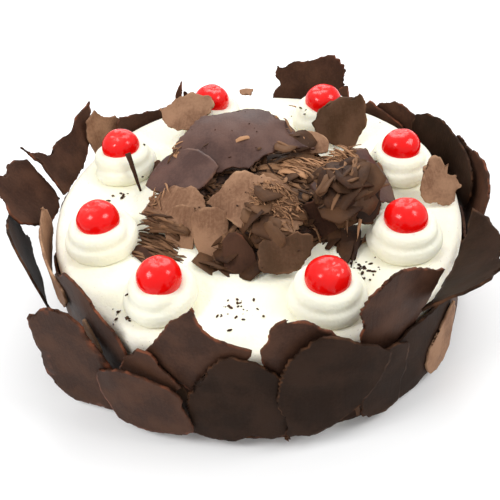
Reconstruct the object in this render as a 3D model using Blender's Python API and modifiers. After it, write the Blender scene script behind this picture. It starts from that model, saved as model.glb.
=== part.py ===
"""Black forest cake: a round cake under whipped cream, with a wall of chocolate shards round
its side, eight piped cream dollops that each hold a cherry, and a heap of chocolate in the middle.

Metres, +Z up. The origin is the centre of the cake's flat base, and the front is -Y.
An azimuth is measured from the front, positive towards +X.
"""

import math
import random
from collections import namedtuple

import bmesh
import bpy
import numpy
from mathutils import Vector
from mathutils.bvhtree import BVHTree

MM = 0.001

# Driving dimensions
CAKE_RADIUS = 100 * MM
CAKE_HEIGHT = 54 * MM
CAKE_EDGE_ROUND = 4 * MM
CAKE_SEGMENTS = 48

GAP = 0.35 * MM                     # clear space between touching pieces
SHEET_THICKNESS = 1.3 * MM
SHEET_CELL = 9.5 * MM               # size of one facet on a chocolate sheet
RAGGED_EDGE = 0.7 * MM              # how far a broken edge wanders
WALL_FOOT = 0.8 * MM                # lowest point of any shard above the base
WALL_BEND = 104                     # mm, the radius that most of the wall's shards are bent to
SHARD_TURNS = (0, -3, 3, -6, 6, -9, 9)      # degrees that a shard may turn to lie closer
WORTH_TURNING = 0.3 * MM            # how much closer it has to lie for that
SETTLE_STEP = 0.8 * MM              # first step of a sheet away from what it touches
SETTLE_HALVINGS = 3                 # how often that step is then halved
MOST_INSIDE = 0.95                  # share of a bend's radius past which a sheet stays flat

DOLLOP_RING_RADIUS = 76.3 * MM
DOLLOP_RADIUS = 17.5 * MM
DOLLOP_HEIGHT = 13 * MM
DOLLOP_SEGMENTS = 16

CHERRY_RADIUS = 9.8 * MM
CHERRY_LIFT = 15.0 * MM             # cherry's centre above the cake's top
CHERRY_FLATNESS = 0.88              # its height to its width
CHERRY_PIT_DEPTH = 1.6 * MM

HEAP_CENTRE = (1 * MM, 0)
HEAP_RADII = (47 * MM, 41 * MM)
HEAP_HEIGHT = 13 * MM

# Where each dollop and its cherry stand: name, azimuth in degrees, size relative to the mean
DOLLOPS = (
    ("front_left", -34, 1.00),
    ("front_right", 21, 1.00),
    ("left", -73, 1.04),
    ("right", 60, 1.00),
    ("left_back", -118, 0.98),
    ("right_back", 102, 0.96),
    ("back_left", -165, 0.97),
    ("back_right", 147, 1.00),
)

# A shard on the wall: its azimuth in degrees, the height of its middle and its outline in mm,
# how far its top leans out from upright, in degrees, and the radius in mm that it is bent to,
# where 0 is flat. Later shards lie over earlier ones.
# Every outline is the eight points of a bent four-sided patch, clockwise from the bottom left:
# corner, middle of side, corner, middle of side, and so on.
WallShard = namedtuple("WallShard", "name azimuth height lean outline bend", defaults=(WALL_BEND,))
WALL_SHARDS = (
    WallShard("shard_front_mid_inner", 9, 53, 0,
              ((-12, -15), (-17, -4), (-18, 9), (-14, 19), (-9, 26), (4, 20), (15, 6), (5, -12))),
    WallShard("shard_front_left_peak", -16, 53, 0,
              ((-3, -24), (-14, -12), (-24, -2), (-11, 19), (2, 33), (5, 19), (22, 9), (14, -7))),
    WallShard("shard_left_tongue", -48, 56, 2,
              ((-14, -32), (-24, -8), (-22, 8), (-4, 20), (10, 12), (19, 0), (22, -18), (6, -36))),
    WallShard("shard_front_left_crest", -29, 43, 0,
              ((-23, -31), (-17, -10), (-7, 7), (1, 13), (8, 6), (12, 0), (14, -6), (-3, -27))),
    WallShard("shard_front_right_high", 32, 63, 2,
              ((-18, -14), (-19, 8), (-10, 20), (2, 22), (28, 2), (20, -6), (7, -24), (-6, -26))),
    WallShard("shard_right_rim", 62, 63, 48,
              ((-46, -16), (-35, 5), (-24, 14), (-10, 9), (1, 4), (16, -4), (31, -17), (-8, -19))),
    WallShard("shard_right_low", 40, 23, -3,
              ((-29, -15), (-26, 8), (-14, 22), (2, 25), (24, 19), (23, 2), (14, -17), (-9, -18))),
    WallShard("shard_left_rim_strip", -75, 56, 0,
              ((-28, -14), (-31, -2), (-28, 8), (-4, 6), (30, 7), (35, 2), (30, -10), (0, -16))),
    WallShard("shard_left_back_tan", -130, 60, 8,
              ((-8, -22), (-12, -6), (-11, 2), (-4, 6), (2, 11), (11, 4), (10, -12), (3, -22))),
    WallShard("shard_back_left_strip", -146, 58, 6,
              ((-16, -14), (-23, -7), (-24, -3), (1, 1), (19, 5), (23, 1), (21, -10), (3, -15))),
    WallShard("shard_left_back_high", -112, 64, 25,
              ((-14, -16), (-29, -5), (-39, 7), (2, 5), (21, 18), (16, 4), (17, -16), (4, -17))),
    WallShard("shard_left_back_low", -99, 60, 38,
              ((-8, -18), (-11, -2), (-13, 9), (-1, 16), (18, 16), (23, 9), (26, -4), (12, -17))),
    WallShard("shard_right_back_rim", 106, 56, 4,
              ((-31, -16), (-33, -3), (-27, 4), (0, 10), (22, 9), (30, 2), (29, -14), (0, -20))),
    WallShard("shard_back_right_low", 132, 50, 3,
              ((-14, -14), (-15, -4), (-12, 1), (0, 4), (11, 8), (14, 2), (12, -14), (0, -17))),
    WallShard("shard_back_right_high", 157, 62, 10,
              ((-20, -18), (-19, 6), (-10, 16), (6, 11), (26, 5), (25, -5), (26, -18), (2, -20))),
    WallShard("shard_front_middle", -8, 36, -3,
              ((-20, -28), (-21, -7), (-15, 7), (-1, 24), (14, 16), (22, 4), (20, -26), (1, -31))),
    WallShard("shard_left_outer", -78, 48, 7,
              ((-20, -24), (-28, -6), (-24, 12), (-2, 18), (22, 10), (26, -4), (18, -24), (0, -28))),
    WallShard("shard_left_flared", -30, 37, 0,
              ((-42, -33), (-52, -14), (-50, 26), (-38, 33), (-26, 23), (-17, -2), (-8, -32), (-25, -34)),
              0),
    WallShard("shard_front_left_low", -32, 25, -3,
              ((-12, -19), (-18, -5), (-19, 12), (-4, 17), (11, 15), (21, 9), (25, -14), (9, -19))),
    WallShard("shard_front_right_low", 29, 28, -2,
              ((-14, -18), (-12, 8), (-6, 19), (0, 20), (8, 17), (9, 4), (5, -20), (-5, -23))),
    WallShard("shard_front_right_big", 14, 36, -4,
              ((-22, -30), (-22, 11), (-6, 32), (8, 28), (26, 11), (21, -2), (11, -14), (-5, -24))),
    WallShard("shard_right_low_tan", 51, 22, -3,
              ((-14, -14), (-17, -2), (-12, 7), (-4, 13), (5, 17), (8, 6), (4, -11), (-5, -16))),
    WallShard("shard_right_back_outer", 94, 54, 10,
              ((-25, -24), (-28, -2), (-22, 8), (0, 12), (20, 9), (26, 2), (23, -22), (0, -26))),
    WallShard("shard_back_right_outer", 128, 52, 5,
              ((-15, -22), (-18, -4), (-12, 6), (0, 9), (11, 7), (16, 0), (13, -22), (0, -25))),
)

# The rest of the wall, round the sides and back, follows one rule: a row of broad shards whose
# names count up from the first azimuth to the last, with their tops between two heights in mm
BACK_ROW_NAME = "shard_back_row"
BACK_ROW_COUNT = 9
BACK_ROW_AZIMUTHS = (68, 282)
BACK_ROW_TOPS = (42, 48)
BACK_SHARD_HALF_WIDTH = 28
BACK_SHARD_HALF_HEIGHT = 22
BACK_ROW_SEED = 7

# A sheet on the top: the middle of its place, the azimuth that its upper face looks to, its slope
# from flat, how strongly it bends across and along (mm of radius, 0 is flat), and its outline
TopSheet = namedtuple("TopSheet", "name place heading slope bend outline")
TOP_SHEETS = (
    TopSheet("sheet_heap_middle", (3, -18, 66), 5, 24, (32, 0),
             ((1, -30), (-12, -17), (-26, 1), (-13, 8), (2, 6), (13, -2), (19, -14), (11, -25))),
    TopSheet("sheet_heap_left", (-38, -12, 62), -35, 28, (40, 60),
             ((-2, -16), (-10, -14), (-15, -10), (-12, 1), (-6, 10), (8, 10), (16, 1), (10, -12))),
    TopSheet("sheet_heap_right_dark", (43, -27, 58), 20, 36, (50, 0),
             ((-5, -13), (-8, -1), (-8, 9), (3, 10), (15, -2), (11, -10), (3, -17), (-1, -15))),
    TopSheet("sheet_heap_front", (14, -47, 56), 5, 38, (60, 0),
             ((-13, -11), (-15, -5), (-14, 2), (-3, 6), (11, 3), (8, -5), (3, -12), (-5, -13))),
    TopSheet("sheet_back_flat", (-32, 57, 60), -15, 32, (80, 0),
             ((-12, -5), (-15, -1), (-18, 5), (-6, 13), (10, 14), (12, 7), (5, -4), (-3, -8))),
    TopSheet("sheet_heap_back_big", (-9, 25, 68), 0, 12, (75, 55),
             ((8, -21), (-14, -25), (-37, -25), (-28, -2), (-13, 13), (16, 15), (41, -6), (26, -11))),
    TopSheet("sheet_heap_right_curl", (47, -8, 64), 20, 22, (24, 0),
             ((-11, -12), (-16, -2), (-18, 6), (-3, 13), (14, 14), (19, -2), (14, -18), (1, -16))),
    TopSheet("sheet_right_leaf", (87, -8, 60), 20, 52, (60, 0),
             ((-8, -12), (-10, -4), (-4, 5), (2, 10), (7, 3), (13, -5), (7, -12), (-1, -15))),
    TopSheet("sheet_back_right_leaf", (53, 47, 62), 10, 62, (45, 0),
             ((-8, -18), (-20, -8), (-10, 8), (-1, 10), (7, 8), (9, -3), (2, -19), (-3, -20))),
)


def material(name, colour, roughness):
    """A plain finish."""
    made = bpy.data.materials.new(name)
    made.use_nodes = True
    shader = made.node_tree.nodes["Principled BSDF"]
    shader.inputs["Base Color"].default_value = (*colour, 1)
    shader.inputs["Roughness"].default_value = roughness
    shader.inputs["Metallic"].default_value = 0
    return made


def add_object(name, mesh, finish):
    """Puts a mesh in the cake's collection as one named piece."""
    mesh.materials.append(finish)
    mesh.shade_smooth()
    piece = bpy.data.objects.new(name, mesh)
    cake_collection.objects.link(piece)
    return piece


def mesh_of(shape, name):
    """Turns a bmesh into a mesh."""
    bmesh.ops.recalc_face_normals(shape, faces=shape.faces)
    mesh = bpy.data.meshes.new(name)
    shape.to_mesh(mesh)
    shape.free()
    return mesh


def direction(azimuth):
    """The level unit vector at an azimuth in radians."""
    return Vector((math.sin(azimuth), -math.cos(azimuth), 0))


# ---------------------------------------------------------------- what already stands in the way

standing = []                       # (tree, lowest corner, highest corner) of every placed piece


def stand(points, faces):
    """Notes a placed piece, so that later ones come to rest against it."""
    tree = BVHTree.FromPolygons(points.tolist(), faces)
    standing.append((tree, points.min(axis=0), points.max(axis=0)))


def stand_object(piece):
    """Notes an object's finished mesh."""
    seen = piece.evaluated_get(bpy.context.evaluated_depsgraph_get())
    mesh = seen.to_mesh()
    points = numpy.array([piece.matrix_world @ vertex.co for vertex in mesh.vertices])
    stand(points, [tuple(face.vertices) for face in mesh.polygons])
    seen.to_mesh_clear()


def is_clear(points, faces):
    """Tells whether a closed shape touches nothing that stands."""
    low, high = points.min(axis=0), points.max(axis=0)
    near = [tree for tree, least, most in standing if (low <= most).all() and (least <= high).all()]
    if not near:
        return True
    shape = BVHTree.FromPolygons(points.tolist(), faces)
    return not any(shape.overlap(tree) for tree in near)


# ---------------------------------------------------------------- chocolate sheets

PATCH_CORNERS = ((-1, -1, 0), (-1, 1, 2), (1, 1, 4), (1, -1, 6))
PATCH_SIDES = ((-1, 0, 1), (0, 1, 3), (1, 0, 5), (0, -1, 7))


def patch_point(outline, x, y):
    """The point of an eight-point patch at x and y, which both run from -1 to 1."""
    total = numpy.zeros(2)
    for along, up, index in PATCH_CORNERS:
        weight = (1 + x * along) * (1 + y * up) * (x * along + y * up - 1) / 4
        total += weight * numpy.array(outline[index])
    for along, up, index in PATCH_SIDES:
        weight = (1 - x * x) * (1 + y * up) / 2 if along == 0 else (1 + x * along) * (1 - y * y) / 2
        total += weight * numpy.array(outline[index])
    return total


def sheet_grid(name, outline):
    """The flat sheet as a grid of points in metres, with a slightly ragged edge."""
    corners = numpy.array(outline, dtype=float) * MM
    wide = max(numpy.ptp(corners[:, 0]), 2 * SHEET_CELL)
    tall = max(numpy.ptp(corners[:, 1]), 2 * SHEET_CELL)
    columns = min(max(round(wide / SHEET_CELL), 3), 6)
    rows = min(max(round(tall / SHEET_CELL), 3), 6)
    wander = random.Random(name)
    grid = numpy.zeros((columns + 1, rows + 1, 2))
    for i in range(columns + 1):
        for j in range(rows + 1):
            grid[i, j] = patch_point(corners, 2 * i / columns - 1, 2 * j / rows - 1)
            if i in (0, columns) or j in (0, rows):
                grid[i, j] += [wander.uniform(-1, 1) * RAGGED_EDGE, wander.uniform(-1, 1) * RAGGED_EDGE]
    return grid


def sheet_surface(grid, place, heading, tilt, bend):
    """Stands the flat grid in space: bent, tilted up from flat, and turned to its heading."""
    across = numpy.array((math.cos(heading), math.sin(heading), 0))
    faces_to = numpy.array(direction(heading))
    upright = numpy.array((0, 0, 1))
    along = upright * math.sin(tilt) - faces_to * math.cos(tilt)
    normal = upright * math.cos(tilt) + faces_to * math.sin(tilt)
    a, b = grid[..., 0], grid[..., 1]
    sink = numpy.zeros_like(a)
    for distance, radius in ((a, bend[0]), (b, bend[1])):
        if radius:
            inside = numpy.minimum(numpy.abs(distance), MOST_INSIDE * radius)
            sink += radius - numpy.sqrt(radius ** 2 - inside ** 2)
    return (numpy.array(place) + a[..., None] * across + b[..., None] * along
            - sink[..., None] * normal)


def slab(surface, thickness, margin):
    """The closed slab round a surface, as points and faces."""
    columns, rows = surface.shape[0], surface.shape[1]
    normal = numpy.cross(numpy.gradient(surface, axis=0), numpy.gradient(surface, axis=1))
    normal /= numpy.linalg.norm(normal, axis=2)[..., None]
    middle = surface.reshape(-1, 3).mean(axis=0)
    outward = surface - middle
    wider = surface + margin * outward / numpy.linalg.norm(outward, axis=2)[..., None].clip(1e-6)
    half = thickness / 2 + margin
    points = numpy.concatenate((wider + half * normal, wider - half * normal)).reshape(-1, 3)
    back = columns * rows
    faces = []
    for i in range(columns - 1):
        for j in range(rows - 1):
            front = (i * rows + j, (i + 1) * rows + j, (i + 1) * rows + j + 1, i * rows + j + 1)
            faces.append(front)
            faces.append(tuple(back + index for index in reversed(front)))
    rim = [i * rows for i in range(columns)]
    rim += [(columns - 1) * rows + j for j in range(1, rows)]
    rim += [i * rows + rows - 1 for i in range(columns - 2, -1, -1)]
    rim += [j for j in range(rows - 2, 0, -1)]
    for here, there in zip(rim, rim[1:] + rim[:1]):
        faces.append((here, back + here, back + there, there))
    return points, faces


def settle(grid, place, heading, tilt, bend, away):
    """Moves a sheet away from where it would sink into something until it is just clear.

    Gives how far it went and its surface there.
    """
    def surface_at(distance):
        return sheet_surface(grid, place + away * distance, heading, tilt, bend)

    def clear_at(distance):
        return is_clear(*slab(surface_at(distance), SHEET_THICKNESS, GAP))

    step = SETTLE_STEP
    distance = 0
    while not clear_at(distance):
        distance += step
    for _ in range(SETTLE_HALVINGS):
        step /= 2
        if clear_at(distance - step):
            distance -= step
    return distance, surface_at(distance)


def add_sheet(name, surface, finish):
    """Makes a settled surface a solid sheet of chocolate, and lets it stand in the way of the next."""
    columns, rows = surface.shape[0] - 1, surface.shape[1] - 1
    shape = bmesh.new()
    bmesh.ops.create_grid(shape, x_segments=columns, y_segments=rows, size=1)
    for vertex in shape.verts:
        i = round((vertex.co.x + 1) / 2 * columns)
        j = round((vertex.co.y + 1) / 2 * rows)
        vertex.co = surface[i, j]
    mesh = bpy.data.meshes.new(name)
    shape.to_mesh(mesh)
    shape.free()
    piece = add_object(name, mesh, finish)
    solid = piece.modifiers.new("thickness", 'SOLIDIFY')
    solid.thickness = SHEET_THICKNESS
    solid.offset = 0
    solid.use_rim = True
    stand(*slab(surface, SHEET_THICKNESS, 0))
    return piece


def add_wall_shard(shard, finish):
    """Presses a shard against the wall, turned a little either way so that it lies as close as it can."""
    grid = sheet_grid(shard.name, shard.outline)
    azimuth = math.radians(shard.azimuth)
    outward = direction(azimuth)
    place = outward * CAKE_RADIUS
    place.z = shard.height * MM
    tilt = math.radians(90 + shard.lean)
    nearest = None
    for turn in SHARD_TURNS:
        heading = azimuth + math.radians(turn)
        distance, surface = settle(grid, place, heading, tilt, (shard.bend * MM, 0), outward)
        if nearest is None or distance < nearest - WORTH_TURNING:
            nearest = distance
            closest = surface
    closest[..., 2] = closest[..., 2].clip(WALL_FOOT + SHEET_THICKNESS)
    return add_sheet(shard.name, closest, finish)


def add_top_sheet(sheet, finish):
    """Lays a sheet on the top, just above what is already there."""
    grid = sheet_grid(sheet.name, sheet.outline)
    bend = (sheet.bend[0] * MM, sheet.bend[1] * MM)
    surface = settle(grid, Vector(sheet.place) * MM, math.radians(sheet.heading),
                     math.radians(sheet.slope), bend, Vector((0, 0, 1)))[1]
    return add_sheet(sheet.name, surface, finish)


def back_row():
    """The shards of the back row, each a little different."""
    wander = random.Random(BACK_ROW_SEED)
    first, last = BACK_ROW_AZIMUTHS
    for index in range(BACK_ROW_COUNT):
        azimuth = first + (last - first) * index / (BACK_ROW_COUNT - 1) + wander.uniform(-3, 3)
        wide = BACK_SHARD_HALF_WIDTH * wander.uniform(0.9, 1.1)
        tall = BACK_SHARD_HALF_HEIGHT * wander.uniform(0.92, 1.05)
        middle = wander.uniform(*BACK_ROW_TOPS) - tall
        peak = wander.uniform(-0.4, 0.4)
        outline = ((-0.75, -0.9), (-1.0, 0.0), (-0.8, 0.6), (peak, 1.0),
                   (0.8, 0.7), (1.0, -0.1), (0.75, -0.9), (0.0, -1.0))
        outline = tuple((x * wide, y * tall) for x, y in outline)
        yield WallShard(f"{BACK_ROW_NAME}_{index + 1}", azimuth, middle, wander.uniform(-5, 0), outline)


# ---------------------------------------------------------------- cake, dollops, cherries, heap

def add_cake(finish):
    """The uncut cake under its cream: one turned solid with a soft top edge."""
    shape = bmesh.new()
    profile = [(0, CAKE_HEIGHT)]
    for step in range(4):
        turn = math.radians(90 - 30 * step)
        profile.append((CAKE_RADIUS - CAKE_EDGE_ROUND * (1 - math.cos(turn)),
                        CAKE_HEIGHT - CAKE_EDGE_ROUND * (1 - math.sin(turn))))
    profile += [(CAKE_RADIUS, 1 * MM), (CAKE_RADIUS - 1 * MM, 0), (0, 0)]
    points = [shape.verts.new((radius, 0, height)) for radius, height in profile]
    for first, second in zip(points, points[1:]):
        shape.edges.new((first, second))
    mesh = bpy.data.meshes.new("cake_body")
    shape.to_mesh(mesh)
    shape.free()
    cake = add_object("cake_body", mesh, finish)
    screw = cake.modifiers.new("turn", 'SCREW')
    screw.steps = CAKE_SEGMENTS
    screw.render_steps = CAKE_SEGMENTS
    screw.use_merge_vertices = True
    screw.merge_threshold = 0.00005
    stand_object(cake)
    return cake


def dollop_profile(turn):
    """Radius and height of a two-turn piped swirl, from its cup down to its foot, in shares of its size.

    The groove between the two turns of cream climbs round the dollop as the nozzle went.
    """
    share = (turn / math.tau) % 1
    rise = share if share < 0.9 else 9 * (1 - share)
    groove = 0.28 + 0.32 * rise
    cup = [(0.28, 0.47), (0.46, 0.68)]
    shoulder = groove + 0.62 * (0.95 - groove)
    upper = [(0.60, 0.99), (0.78, 0.96), (0.90, shoulder), (0.88, groove + 0.12), (0.82, groove)]
    lower = [(0.94, 0.72 * groove + 0.02), (1.0, 0.42 * groove), (0.95, 0.1 * groove)]
    return cup + upper + lower


def add_dollop(name, azimuth, size, finish):
    """Whipped cream piped in a swirl of two turns, hollowed where its cherry sits."""
    rings = len(dollop_profile(0))
    shape = bmesh.new()
    bmesh.ops.create_uvsphere(shape, u_segments=DOLLOP_SEGMENTS, v_segments=rings + 1, radius=1)
    centre = direction(math.radians(azimuth)) * DOLLOP_RING_RADIUS
    start = math.radians(azimuth + 140)
    for vertex in shape.verts:
        turn = math.atan2(vertex.co.y, vertex.co.x)
        ring = round(math.acos(max(-1, min(1, vertex.co.z))) / math.pi * (rings + 1))
        if ring == 0:
            radius, height = 0, 0.37
        elif ring == rings + 1:
            radius, height = 0, 0
        else:
            radius, height = dollop_profile(turn - start)[ring - 1]
        uneven = 1 + 0.03 * math.sin(2 * turn + azimuth)
        reach = radius * DOLLOP_RADIUS * size * uneven
        vertex.co = centre + Vector((math.cos(turn) * reach, math.sin(turn) * reach, 0))
        vertex.co.z = CAKE_HEIGHT + GAP + height * DOLLOP_HEIGHT
    piece = add_object("dollop_" + name, mesh_of(shape, "dollop_" + name), finish)
    stand_object(piece)
    return piece


def add_cherry(name, azimuth, size, finish):
    """A glazed cherry with the small hollow that its stone left at the top."""
    shape = bmesh.new()
    bmesh.ops.create_uvsphere(shape, u_segments=12, v_segments=9, radius=1)
    centre = direction(math.radians(azimuth)) * DOLLOP_RING_RADIUS
    centre.z = CAKE_HEIGHT + CHERRY_LIFT
    for vertex in shape.verts:
        level = math.hypot(vertex.co.x, vertex.co.y)
        pit = CHERRY_PIT_DEPTH * max(0, 1 - 2.2 * level) if vertex.co.z > 0 else 0
        vertex.co = vertex.co * CHERRY_RADIUS * (0.5 + 0.5 * size)
        vertex.co.z = vertex.co.z * CHERRY_FLATNESS - pit
        vertex.co += centre
    piece = add_object("cherry_" + name, mesh_of(shape, "cherry_" + name), finish)
    stand_object(piece)
    return piece


def add_heap(finish):
    """The heap of fine shavings, out to its uneven outline."""
    shape = bmesh.new()
    bmesh.ops.create_uvsphere(shape, u_segments=20, v_segments=10, radius=1)
    for vertex in shape.verts:
        turn = math.atan2(vertex.co.y, vertex.co.x)
        level = math.hypot(vertex.co.x, vertex.co.y)
        edge = 1 + 0.06 * math.sin(3 * turn + 0.6) + 0.05 * math.sin(7 * turn + 2.1)
        lumps = 1 + 0.10 * math.sin(5 * turn + 9 * level) + 0.06 * math.sin(11 * turn - 4 * level)
        flank = max(0, vertex.co.z) ** 0.8
        vertex.co.z = CAKE_HEIGHT + GAP + flank * HEAP_HEIGHT * (lumps if level > 0.01 else 1)
        vertex.co.x = HEAP_CENTRE[0] + vertex.co.x * HEAP_RADII[0] * edge
        vertex.co.y = HEAP_CENTRE[1] + vertex.co.y * HEAP_RADII[1] * edge
    piece = add_object("shavings_heap", mesh_of(shape, "shavings_heap"), finish)
    stand_object(piece)
    return piece


for leftover in list(bpy.data.objects):
    bpy.data.objects.remove(leftover)
cake_collection = bpy.data.collections.new("black_forest_cake")
bpy.context.scene.collection.children.link(cake_collection)

cream = material("whipped_cream", (0.90, 0.89, 0.80), 0.5)
dark_chocolate = material("dark_chocolate", (0.035, 0.018, 0.012), 0.4)
light_chocolate = material("light_chocolate", (0.16, 0.08, 0.045), 0.5)
cherry_glaze = material("cherry_glaze", (0.70, 0.01, 0.01), 0.12)

LIGHT_PIECES = ("shard_left_rim_strip", "shard_right_low_tan", "shard_left_back_tan", "sheet_back_flat",
                "sheet_heap_left", "sheet_heap_middle", "sheet_heap_front", "sheet_right_leaf")


def chocolate_for(name):
    return light_chocolate if name in LIGHT_PIECES else dark_chocolate


add_cake(cream)
for dollop_name, dollop_azimuth, dollop_size in DOLLOPS:
    add_dollop(dollop_name, dollop_azimuth, dollop_size, cream)
    add_cherry(dollop_name, dollop_azimuth, dollop_size, cherry_glaze)
add_heap(dark_chocolate)
for wall_shard in back_row():
    add_wall_shard(wall_shard, dark_chocolate)
for wall_shard in WALL_SHARDS:
    add_wall_shard(wall_shard, chocolate_for(wall_shard.name))
for top_sheet in TOP_SHEETS:
    add_top_sheet(top_sheet, chocolate_for(top_sheet.name))
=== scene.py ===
"""Black forest cake: whipped cream, a wall of chocolate shards, eight cherries on piped cream
and a heap of chocolate shavings in the middle.

Metres, +Z up, the front is -Y. An azimuth is measured from the front, positive towards +X.
"""

import math
import random

import bmesh
import bpy
from mathutils import Matrix, Vector, noise
from mathutils.bvhtree import BVHTree
from mathutils.kdtree import KDTree


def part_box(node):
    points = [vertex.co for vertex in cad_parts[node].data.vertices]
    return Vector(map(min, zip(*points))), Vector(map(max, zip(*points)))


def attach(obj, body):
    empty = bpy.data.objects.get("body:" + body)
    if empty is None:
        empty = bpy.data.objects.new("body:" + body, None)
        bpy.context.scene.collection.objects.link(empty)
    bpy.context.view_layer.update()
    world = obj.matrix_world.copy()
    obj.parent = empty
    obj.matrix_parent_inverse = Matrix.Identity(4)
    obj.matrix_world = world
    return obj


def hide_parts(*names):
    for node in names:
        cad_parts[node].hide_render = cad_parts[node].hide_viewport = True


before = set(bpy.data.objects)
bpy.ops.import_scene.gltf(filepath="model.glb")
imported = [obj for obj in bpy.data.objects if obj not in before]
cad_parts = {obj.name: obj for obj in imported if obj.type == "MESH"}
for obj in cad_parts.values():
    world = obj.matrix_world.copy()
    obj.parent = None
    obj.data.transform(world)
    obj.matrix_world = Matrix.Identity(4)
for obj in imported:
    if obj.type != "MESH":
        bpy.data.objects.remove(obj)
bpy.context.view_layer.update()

MM = 0.001

# ---------------------------------------------------------------- camera, floor and light
# The cake stands on a plain pale floor in a bright room. Soft boxes hang to its left, to its right
# and behind it, and the camera looks down on it from the front at a little under 45 degrees.

CAMERA_PLACE = Vector((0, -281.2, 282.5)) * MM
CAMERA_TARGET = Vector((-4.09, -35.07, 54)) * MM
CAMERA_ROLL = math.radians(-5.163)
LENS = 52.387
LIGHT_TARGET = Vector((0, 0, 0.05))
ROOM_LIGHT = 0.72
FLOOR_PALE = 0.93
FLOOR_HALF = 3

backward = (CAMERA_PLACE - CAMERA_TARGET).normalized()
level = Vector((0, 0, 1)).cross(backward).normalized()
upward = backward.cross(level)
side = level * math.cos(CAMERA_ROLL) + upward * math.sin(CAMERA_ROLL)
camera_data = bpy.data.cameras.new("camera")
camera_data.lens = LENS
camera_data.clip_start = 0.01
camera = bpy.data.objects.new("camera", camera_data)
camera.matrix_world = (Matrix.Translation(CAMERA_PLACE)
                       @ Matrix((side, backward.cross(side), backward)).transposed().to_4x4())
bpy.context.scene.collection.objects.link(camera)
bpy.context.scene.camera = camera


def soft_box(name, place, size, watts):
    """A square soft light that looks at the cake."""
    data = bpy.data.lights.new(name, 'AREA')
    data.size = size
    data.energy = watts
    lamp = bpy.data.objects.new(name, data)
    lamp.location = place
    lamp.rotation_euler = (LIGHT_TARGET - Vector(place)).to_track_quat('-Z', 'Y').to_euler()
    bpy.context.scene.collection.objects.link(lamp)


soft_box("light_left", (-0.55, -0.25, 0.75), 0.32, 3.6)
soft_box("light_right", (0.60, -0.10, 0.70), 0.32, 3.1)
soft_box("light_back", (0.05, 0.75, 0.60), 0.7, 4.6)
room = bpy.data.worlds.new("room")
room.use_nodes = True
room.node_tree.nodes["Background"].inputs["Color"].default_value = (1, 1, 1, 1)
room.node_tree.nodes["Background"].inputs["Strength"].default_value = ROOM_LIGHT
bpy.context.scene.world = room
bpy.context.scene.view_settings.view_transform = 'Standard'

floor_shape = bmesh.new()
bmesh.ops.create_grid(floor_shape, x_segments=1, y_segments=1, size=FLOOR_HALF)
floor_mesh = bpy.data.meshes.new("floor")
floor_shape.to_mesh(floor_mesh)
floor_shape.free()
floor_finish = bpy.data.materials.new("floor")
floor_finish.use_nodes = True
floor_shader = floor_finish.node_tree.nodes["Principled BSDF"]
floor_shader.inputs["Base Color"].default_value = (FLOOR_PALE, FLOOR_PALE, FLOOR_PALE, 1)
floor_shader.inputs["Roughness"].default_value = 0.6
floor_mesh.materials.append(floor_finish)
floor = bpy.data.objects.new("floor", floor_mesh)
bpy.context.scene.collection.objects.link(floor)

# ---------------------------------------------------------------- cream coat
# The sponge is covered all over in whipped cream, spread with a palette knife. The knife leaves low
# ridges round the top and a soft rim, and chocolate dust from the shards lies at its edge.

CAKE_TOP = 54 * MM
COAT_RADIUS = 99.8 * MM
COAT_TOP = 54.4 * MM
COAT_RIM_ROUND = 5 * MM
COAT_STEPS = 180
COAT_RING = 3 * MM
COAT_SIDE = (44, 38, 32, 26, 20, 14, 8, 3, 0.5)     # heights of the rings down the side (mm)
RIM_STEP = 15                       # degrees from ring to ring round the rim
KNIFE_RIDGE = 0.35 * MM
COAT_LUMP = 0.45 * MM


class Wire:
    """A value in a finish: sums and products of wires are worked out in the finish."""

    def __init__(self, finish, socket):
        self.finish = finish
        self.socket = socket

    def worked(self, operation, first, second):
        return self.finish.node('ShaderNodeMath', {"operation": operation}, {0: first, 1: second})

    def __add__(self, other):
        return self.worked('ADD', self, other)

    def __mul__(self, other):
        return self.worked('MULTIPLY', self, other)

    def __rsub__(self, other):
        return self.worked('SUBTRACT', other, self)

    __radd__ = __add__
    __rmul__ = __mul__


class Finish:
    """A material, built up node by node."""

    def __init__(self, name, **steady):
        self.material = bpy.data.materials.new(name)
        self.material.use_nodes = True
        self.tree = self.material.node_tree
        self.shader = self.tree.nodes["Principled BSDF"]
        self.feed({word.replace("_", " ").title().replace("Ior", "IOR"): value
                   for word, value in steady.items()})

    def node(self, kind, settings, sockets, output=0):
        made = self.tree.nodes.new(kind)
        for setting, value in settings.items():
            setattr(made, setting, value)
        self.feed(sockets, made)
        return Wire(self, made.outputs[output])

    def feed(self, sockets, target=None):
        for name, value in sockets.items():
            socket = (target or self.shader).inputs[name]
            if isinstance(value, Wire):
                self.tree.links.new(value.socket, socket)
            else:
                socket.default_value = value

    def place(self):
        return self.node('ShaderNodeTexCoord', {}, {}, 3)

    def grain(self, size, detail=3, where=None, stretch=(1, 1, 1), rough=0.5):
        """Soft noise, about size metres from lump to lump, times its stretch."""
        scale = tuple(1 / (size * along) for along in stretch)
        spot = self.node('ShaderNodeMapping', {}, {0: where or self.place(), 3: scale})
        return self.node('ShaderNodeTexNoise', {}, {"Vector": spot, "Scale": 1, "Detail": detail,
                                                    "Roughness": rough})

    def between(self, value, low, high):
        """0 where a value is at or under low, rising to 1 at high."""
        return self.node('ShaderNodeMapRange', {"interpolation_type": 'SMOOTHSTEP'},
                         {"Value": value, "From Min": low, "From Max": high})

    def mix(self, share, first, second):
        return self.node('ShaderNodeMix', {"data_type": 'RGBA'}, {0: share, 6: first, 7: second}, 2)

    def relief(self, height, depth):
        """Bumps of a depth in metres."""
        self.feed({"Normal": self.node('ShaderNodeBump', {}, {"Height": height, "Distance": depth})})


def tint(code):
    """A colour as the shader takes it, from the usual code."""
    shares = [int(code[start:start + 2], 16) / 255 for start in (0, 2, 4)]
    return (*(share / 12.92 if share <= 0.04045 else ((share + 0.055) / 1.055) ** 2.4
              for share in shares), 1)


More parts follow.
